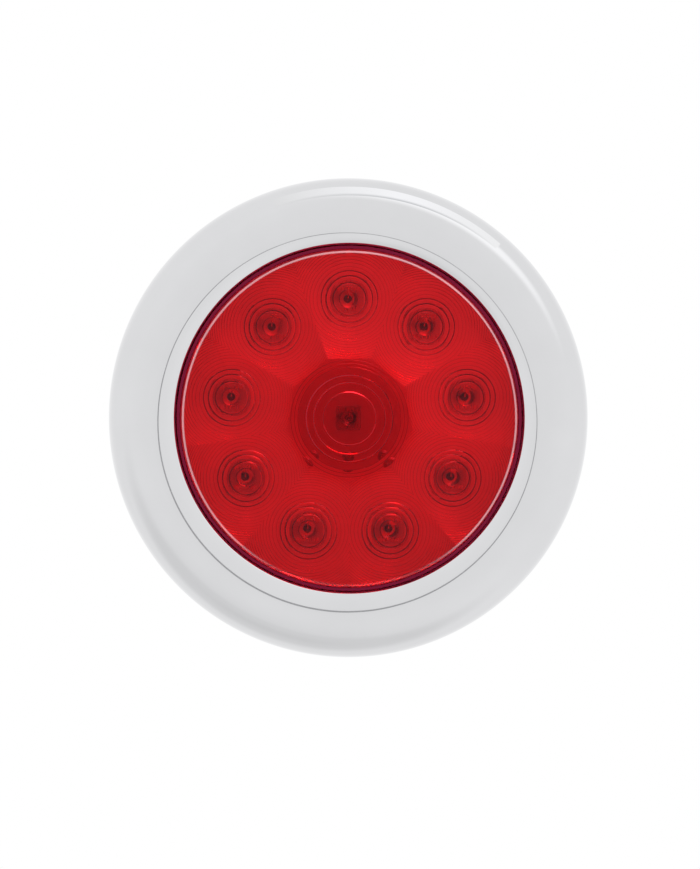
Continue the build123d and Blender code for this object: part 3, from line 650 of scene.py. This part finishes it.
def build_lens():
    parts, rim_points = [], {}

    def foot(point):
        """Relief at the foot of an outer cell's wall: the rim's land, or the middle cell's."""
        radius = math.hypot(point[0], point[2])
        return LAND if radius > LED_RING_R else relief(middle_rings(), radius)

    spokes = cell_angles()
    rings = outer_rings()
    for heading in LED_ANGLES:
        centre = (LED_RING_R * math.cos(heading), LED_RING_R * math.sin(heading))
        points, faces, edge = web(centre, heading, spokes, cell_reach, rings)
        parts.append((points, faces))
        # walls down to the flat lands, at the middle cell and at the rim
        for first, second in zip(edge, edge[1:] + edge[:1]):
            pair = [points[first], points[second]]
            far = [math.hypot(p[0], p[2]) for p in pair]
            bisected = [p[0] * math.cos(heading) + p[2] * math.sin(heading) for p in pair]
            at_middle = all(abs(b - MIDDLE_CELL) < 1e-4 for b in bisected)
            at_rim = all(abs(f - FIELD_R) < 1e-4 for f in far)
            if at_middle or at_rim:
                low = [(p[0], INNER_H - foot(p), p[2]) for p in pair]
                parts.append((pair + low[::-1], [(0, 1, 2, 3)]))
            if at_rim:
                for p in pair:
                    rim_points[round(math.atan2(p[2], p[0]) % TAU, 6)] = p
    # the middle cell uses the spokes of the outer cells' inner edges, seen from the axis
    inner = sorted(math.pi - abs(a) for a in spokes if abs(a) >= math.pi - SECTOR - 1e-9 and a >= 0)
    fan = sorted(set([-a for a in inner if a > 0] + inner))
    all_angles = sorted({round((heading + a) % TAU, 9) for heading in LED_ANGLES for a in fan})
    kept = [a for i, a in enumerate(all_angles) if i == 0 or a - all_angles[i - 1] > 1e-6]

    def middle_reach(a):
        nearest = min(LED_ANGLES, key=lambda heading: abs((a - heading + math.pi) % TAU - math.pi))
        return MIDDLE_CELL / math.cos(a - nearest)

    points, faces, _ = web((0.0, 0.0), 0.0, kept, middle_reach, middle_rings())
    parts.append((points, faces))
    # the rest of the lens: rim land, bore, flange with its notch, skirt, ledge and raised face
    rim_angles = sorted(rim_points)
    notch_angle, notch_half, notch_r = 1.5 * math.pi, 2.0 / LAMP_FLANGE_R, LAMP_FLANGE_R - 1.2

    def outline(angle):
        flange_r = notch_r if abs(angle - notch_angle) < notch_half else LAMP_FLANGE_R
        loop = [(FIELD_R, INNER_H - LAND), (LENS_BORE_R - 0.06, INNER_H - LAND)]
        loop += [(LENS_BORE_R, INNER_H - 0.05), (LENS_BORE_R, FLANGE_BACK_H + 0.2)]
        loop += [(LENS_BORE_R + 0.2, FLANGE_BACK_H)]
        loop += [(flange_r - 0.3, FLANGE_BACK_H), (flange_r, FLANGE_BACK_H + 0.3)]
        loop += [(flange_r, FLANGE_FRONT_H - 0.3), (flange_r - 0.3, FLANGE_FRONT_H)]
        loop += [(LENS_SKIRT_R + 0.3, FLANGE_FRONT_H), (LENS_SKIRT_R, FLANGE_FRONT_H + 0.3)]
        loop += [(LENS_SKIRT_R, LENS_LEDGE_H - 0.4)]
        loop += arc((LENS_SKIRT_R - 0.4, LENS_LEDGE_H - 0.4), 0.4, 15, 90, 5)
        foot_r = LENS_EDGE_R + 0.86
        loop += [(foot_r, LENS_LEDGE_H)]
        loop += arc((foot_r - 0.02, LENS_LEDGE_H + 0.4), 0.4, 260, 188, 5)
        corner = (LENS_EDGE_R - 0.86, LENS_FACE_H - FACE_CORNER_R)
        loop += arc(corner, FACE_CORNER_R, 8, 90, 10)
        return loop + [(50.4, LENS_FACE_H), (30.0, LENS_FACE_H)]

    count = len(outline(0.0))
    loops = []
    for a in rim_angles:
        across, up = math.cos(a), math.sin(a)
        loops.append([(r * across, h, r * up) for r, h in outline(a)])
    points = [p for loop in loops for p in loop]
    faces = []
    for i in range(len(loops)):
        j = (i + 1) % len(loops)
        for k in range(count - 1):
            faces.append((i * count + k, j * count + k, j * count + k + 1, i * count + k + 1))
    faces.append(tuple(i * count + count - 1 for i in range(len(loops))))
    parts.append((points, faces))
    return joined(parts)


lens = new_piece("fresnel_lens", *build_lens(), RED_LENS, "lamp", "red_lens", ("lens",), sharp=24.0)

# ---------------------------------------------------------------- LED bodies
LED_HALF = 3.8
LED_CORNER_R = 0.7
LED_DOME_R = 2.5
LED_STANDOFF = 0.8
LED_BODY_TOP = 3.7
LED_CENTRES = [(0.0, 0.0)] + [
    (LED_RING_R * math.cos(a), LED_RING_R * math.sin(a)) for a in LED_ANGLES
]


def square_reach(angle, half, corner):
    """Distance from the middle to the edge of a square with rounded corners."""
    c, s = abs(math.cos(angle)), abs(math.sin(angle))
    flat = half / max(c, s)
    inset = half - corner
    if min(c, s) * flat <= inset:
        return flat
    dot = inset * (c + s)
    return dot + math.sqrt(max(0.0, dot * dot - 2 * inset * inset + corner * corner))


def led_outline(angle):
    edge = square_reach(angle, LED_HALF, LED_CORNER_R)
    lip = 0.12
    outline = [(0.0, LED_STANDOFF), (edge - lip, LED_STANDOFF), (edge, LED_STANDOFF + lip)]
    outline += [(edge, LED_BODY_TOP - lip), (edge - lip, LED_BODY_TOP)]
    outline += [(LED_DOME_R + 0.15, LED_BODY_TOP)]
    outline += arc((0.0, LED_BODY_TOP + 0.1), LED_DOME_R, 0, 90, 14)
    return outline


led_bodies = joined(
    [lathe(led_outline, turns(72), centre, BOARD_FRONT_H) for centre in LED_CENTRES]
)
new_piece("led_epoxy_bodies", *led_bodies, EPOXY, "lamp", "led_epoxy", ("led_bodies",), sharp=35.0)

# each die sits in its cup under a dark dome wider than the die: the die's own dark colour, spread over
# the cup as painted shade
DIE_SHADE_BACK = height_span("led_dies")[0] - BOARD_FRONT_H
DIE_SHADE_OUTLINE = [(0.0, DIE_SHADE_BACK), (0.31, DIE_SHADE_BACK), (0.33, DIE_SHADE_BACK + 0.11)]
DIE_SHADE_OUTLINE += [(0.27, DIE_SHADE_BACK + 0.22), (0.15, DIE_SHADE_BACK + 0.28), (0.0, DIE_SHADE_BACK + 0.3)]
die_shade_drops = joined(
    [lathe(lambda angle: DIE_SHADE_OUTLINE, turns(32), centre, BOARD_FRONT_H) for centre in LED_CENTRES]
)
new_piece("led_die_shade_drops", *die_shade_drops, DIE, "lamp", "led_die", ("led_dies",), sharp=50.0)

# ---------------------------------------------------------------- mounting screws
SCREW_RING_R = 63.5
SCREW_ANGLES = [math.radians(45 + 90 * i) for i in range(4)]
HEAD_R = 4.5
BOSS_H = 6.0
HEAD_TOP_H = 9.0
THREAD_R, SHANK_R, ROOT_R = 2.4, 2.2, 1.85
THREAD_PITCH = 1.6
SCREW_TIP_H = height_span("mounting_screws")[0]


def screw_mesh(centre):
    """Pan head with a cross recess, plain shank, then a helical thread down to a blunt point."""
    sides = 48
    rows = []
    recess_depth, recess_half, recess_reach = 1.8, 0.55, 2.6
    spin = turns(sides)
    rows.append([(0.0, HEAD_TOP_H - recess_depth)] * sides)
    # the cross recess follows four slots round the head's middle
    slots = []
    for a in spin:
        local = (a + math.pi / 4) % (math.pi / 2) - math.pi / 4
        across = abs(math.tan(local))
        reach = recess_half / across if across > recess_half / recess_reach else recess_reach
        slots.append(min(recess_reach, max(reach, recess_half * 1.5)))
    rows.append([(reach * 0.55, HEAD_TOP_H - recess_depth) for reach in slots])
    rows.append([(reach, HEAD_TOP_H - 0.15) for reach in slots])
    rows.append([(recess_reach + 0.3, HEAD_TOP_H - 0.05)] * sides)
    for r, h in arc((HEAD_R - 1.7, HEAD_TOP_H - 1.7), 1.7, 80, 0, 7):
        rows.append([(r, h)] * sides)
    rows.append([(HEAD_R, BOSS_H + 0.2)] * sides)
    rows.append([(HEAD_R - 0.2, BOSS_H)] * sides)
    rows.append([(SHANK_R, BOSS_H)] * sides)
    rows.append([(SHANK_R, 1.0)] * sides)
    steps = int((0.5 - SCREW_TIP_H) / THREAD_PITCH * 8)
    for i in range(steps + 1):
        h = 0.5 + (SCREW_TIP_H + 0.3 - 0.5) * i / steps
        taper = min(1.0, 0.28 + (h - SCREW_TIP_H) / 2.6)
        row = []
        for a in spin:
            phase = (h / THREAD_PITCH + a / TAU) % 1.0
            ridge = max(0.0, 1.0 - abs(phase - 0.5) / 0.22)
            row.append(((ROOT_R + (THREAD_R - ROOT_R) * ridge) * taper, h))
        rows.append(row)
    rows.append([(0.0, SCREW_TIP_H)] * sides)
    points = []
    for row in rows:
        for a, (r, h) in zip(spin, row):
            points.append((centre[0] + r * math.cos(a), h, centre[1] + r * math.sin(a)))
    faces = []
    for i in range(len(rows) - 1):
        for k in range(sides):
            m = (k + 1) % sides
            faces.append((i * sides + k, i * sides + m, (i + 1) * sides + m, (i + 1) * sides + k))
    return points, faces


screws = joined(
    [screw_mesh((SCREW_RING_R * math.cos(a), SCREW_RING_R * math.sin(a))) for a in SCREW_ANGLES]
)
new_piece(
    "pan_head_screws", *screws, STEEL, "lamp", "stainless_steel", ("mounting_screws",), sharp=32.0
)

# ---------------------------------------------------------------- camera
VIEW_DISTANCE = 2.5
VIEW_LEFT = math.radians(1.4)
VIEW_UP = math.radians(0.9)
camera_data = bpy.data.cameras.new("camera")
camera_data.lens = 332.4
camera_data.shift_x = 0.00196
camera_data.shift_y = -0.01933
camera = bpy.data.objects.new("camera", camera_data)
aim = Vector((0.0, 0.0, 0.0))
outward = Vector(
    (
        -math.sin(VIEW_LEFT) * math.cos(VIEW_UP),
        -math.cos(VIEW_LEFT) * math.cos(VIEW_UP),
        math.sin(VIEW_UP),
    )
)
camera.location = aim + outward * VIEW_DISTANCE
camera.rotation_euler = (-outward).to_track_quat("-Z", "Y").to_euler()
bpy.context.scene.collection.objects.link(camera)
bpy.context.scene.camera = camera

# ---------------------------------------------------------------- stage and light
scene = bpy.context.scene
scene.view_settings.view_transform = "Standard"
scene.cycles.max_bounces = 24
scene.cycles.transmission_bounces = 24
scene.cycles.glossy_bounces = 8

FLOOR_Z = -0.35
floor_mesh = bpy.data.meshes.new("floor")
floor_mesh.from_pydata(
    [(-1.5, -2.0, FLOOR_Z), (1.5, -2.0, FLOOR_Z), (1.5, 0.8, FLOOR_Z), (-1.5, 0.8, FLOOR_Z)],
    [], [(0, 1, 2, 3)],
)
floor = bpy.data.objects.new("floor", floor_mesh)
floor_finish = Finish("floor_paper").set(Roughness=0.9)
paper = floor_finish.noise(8.0, 3.0)
paper = floor_finish.ramp(paper, [(0.3, (0.86, 0.86, 0.86)), (0.7, (0.9, 0.9, 0.9))])
floor_finish.link(paper, "Base Color")
floor_mesh.materials.append(floor_finish.material)
scene.collection.objects.link(floor)
floor.visible_glossy = False


def softbox(name, place, size, radiance, lit=(), shaded_by=None):
    """Rectangular light aimed at the lamp. It can be kept to some pieces, and to some shadows."""
    data = bpy.data.lights.new(name, "AREA")
    data.shape = "RECTANGLE"
    data.size, data.size_y = size
    data.energy = radiance * math.pi * size[0] * size[1]
    light = bpy.data.objects.new(name, data)
    light.location = place
    light.rotation_euler = (-Vector(place)).to_track_quat("-Z", "Y").to_euler()
    scene.collection.objects.link(light)
    for role, chosen in (("receiver_collection", lit), ("blocker_collection", shaded_by)):
        if chosen:
            group = bpy.data.collections.new(f"{name}_{role}")
            for piece in chosen:
                group.objects.link(piece)
            setattr(light.light_linking, role, group)


softbox("overhead_softbox", (0.25, -0.45, 1.0), (0.9, 0.6), 6.0, [lens])
# stands in for the light that comes in through the lens, so the lens doesn't shade it
inner_pieces = [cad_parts[n] for n in ("circuit_board", "led_anode_frames", "led_cathode_frames")]
softbox("inner_key", (0.06, -0.12, 0.185), (0.07, 0.07), 15.5, inner_pieces, [inner_pieces[1]])


def only_mirrored(piece):
    """Stage piece that shows in reflections and nowhere else."""
    piece.visible_camera = piece.visible_diffuse = False
    piece.visible_transmission = piece.visible_shadow = False


def glowing(name, corners, emission):
    mesh = bpy.data.meshes.new(name)
    mesh.from_pydata(corners, [], [tuple(range(len(corners)))])
    panel = bpy.data.objects.new(name, mesh)
    scene.collection.objects.link(panel)
    only_mirrored(panel)
    finish = Finish(name).set(Base_Color=(0, 0, 0, 1), Specular_IOR_Level=0.0, Emission_Strength=1.0)
    finish.link(emission(finish), "Emission Color")
    mesh.materials.append(finish.material)


def overhead_glow(finish):
    """White cloth, greying towards the front edge and fading out at both ends."""
    spot = finish.node("ShaderNodeTexCoord").outputs["Generated"]
    parts = finish.node("ShaderNodeSeparateXYZ", {"Vector": spot}).outputs
    back = finish.spread(parts["Y"], 0.0, 1.0, 0.10, 0.40)
    grey = finish.mix(back, (0.80, 0.81, 0.83), (1.28, 1.28, 1.30))
    left = finish.spread(parts["X"], 0.0, 1.0, 0.0, 0.45)
    right = finish.spread(parts["X"], 1.0, 0.0, 0.55, 1.0)
    tent = finish.mix(parts["X"], (1.0, 1.0, 1.003), (1.2, 1.2, 1.204))
    return finish.mix(finish.product(left, right), tent, grey)


glowing(
    "overhead_panel",
    [(-0.2, -0.62, 0.6), (0.55, -0.62, 0.6), (0.55, 0.12, 0.6), (-0.2, 0.12, 0.6)],
    overhead_glow,
)

# a dark disc level with the camera, on the other side of the lamp's axis: the bezel's crest
# mirrors it all the way round
OPENING_R = 0.04
mirror_side = Vector((-outward.x, outward.y, -outward.z)) * VIEW_DISTANCE
glowing(
    "camera_opening",
    [
        tuple(mirror_side + Vector((math.cos(a), 0.0, math.sin(a))) * OPENING_R)
        for a in turns(32)
    ],
    lambda finish: finish.ramp(finish.noise(6.0), [(0.3, (0.42, 0.42, 0.43)), (0.7, (0.5, 0.5, 0.51))]),
)

world = bpy.data.worlds.new("studio")
scene.world = world
world.use_nodes = True
tree = world.node_tree
direction = tree.nodes.new("ShaderNodeTexCoord").outputs["Generated"]


def world_node(kind, links, **settings):
    made = tree.nodes.new(kind)
    for key, value in settings.items():
        setattr(made, key, value)
    for key, value in links.items():
        if isinstance(value, bpy.types.NodeSocket):
            tree.links.new(value, made.inputs[key])
        else:
            made.inputs[key].default_value = value
    return made


def lobe(centre, stops):
    """Tent brightness by angle from a direction: (degrees, brightness) stops."""
    centre = Vector(centre).normalized()
    near = world_node("ShaderNodeVectorMath", {0: direction, 1: centre}, operation="DOT_PRODUCT")
    away = world_node("ShaderNodeMath", {0: near.outputs["Value"]}, operation="ARCCOSINE")
    part = world_node("ShaderNodeMath", {0: away.outputs[0], 1: math.pi}, operation="DIVIDE")
    ramp = world_node("ShaderNodeValToRGB", {"Fac": part.outputs[0]})
    ramp.color_ramp.interpolation = "EASE"
    while len(ramp.color_ramp.elements) < len(stops):
        ramp.color_ramp.elements.new(0.5)
    for element, (degrees, value) in zip(ramp.color_ramp.elements, stops):
        element.position = degrees / 180
        element.color = (value, value, value * 1.003, 1)
    return ramp.outputs["Color"]


def times(first, second):
    mixed = world_node("ShaderNodeMix", {0: 1.0}, data_type="RGBA", blend_type="MULTIPLY")
    tree.links.new(first, mixed.inputs[6])
    tree.links.new(second, mixed.inputs[7])
    return mixed.outputs[2]


def choose(flag, no, yes):
    mixed = world_node("ShaderNodeMix", {0: flag}, data_type="RGBA")
    for slot, value in ((6, no), (7, yes)):
        if isinstance(value, bpy.types.NodeSocket):
            tree.links.new(value, mixed.inputs[slot])
        else:
            mixed.inputs[slot].default_value = (*value, 1)
    return mixed.outputs[2]


# the tent is white to the camera, one set of greys in reflections, and another through the lens
tent = lobe((0, -1, 0), ((0, 0.95), (6, 0.97), (25, 1.0), (100, 1.0), (150, 0.97)))
tent = times(tent, lobe((0.42, -0.62, 0.68), ((0, 1.34), (12, 1.28), (36, 1.0), (180, 1.0))))
tent = times(tent, lobe((-0.33, -0.35, -0.88), ((0, 0.80), (30, 0.85), (62, 1.0), (180, 1.0))))
through_lens = lobe((0.25, -0.45, 0.86), ((0, 1.0), (40, 0.8), (80, 0.5), (130, 0.28)))
path = tree.nodes.new("ShaderNodeLightPath").outputs
seen = choose(path["Is Transmission Ray"], tent, through_lens)
seen = choose(path["Is Camera Ray"], seen, (1, 1, 1))
tree.links.new(seen, tree.nodes["Background"].inputs["Color"])
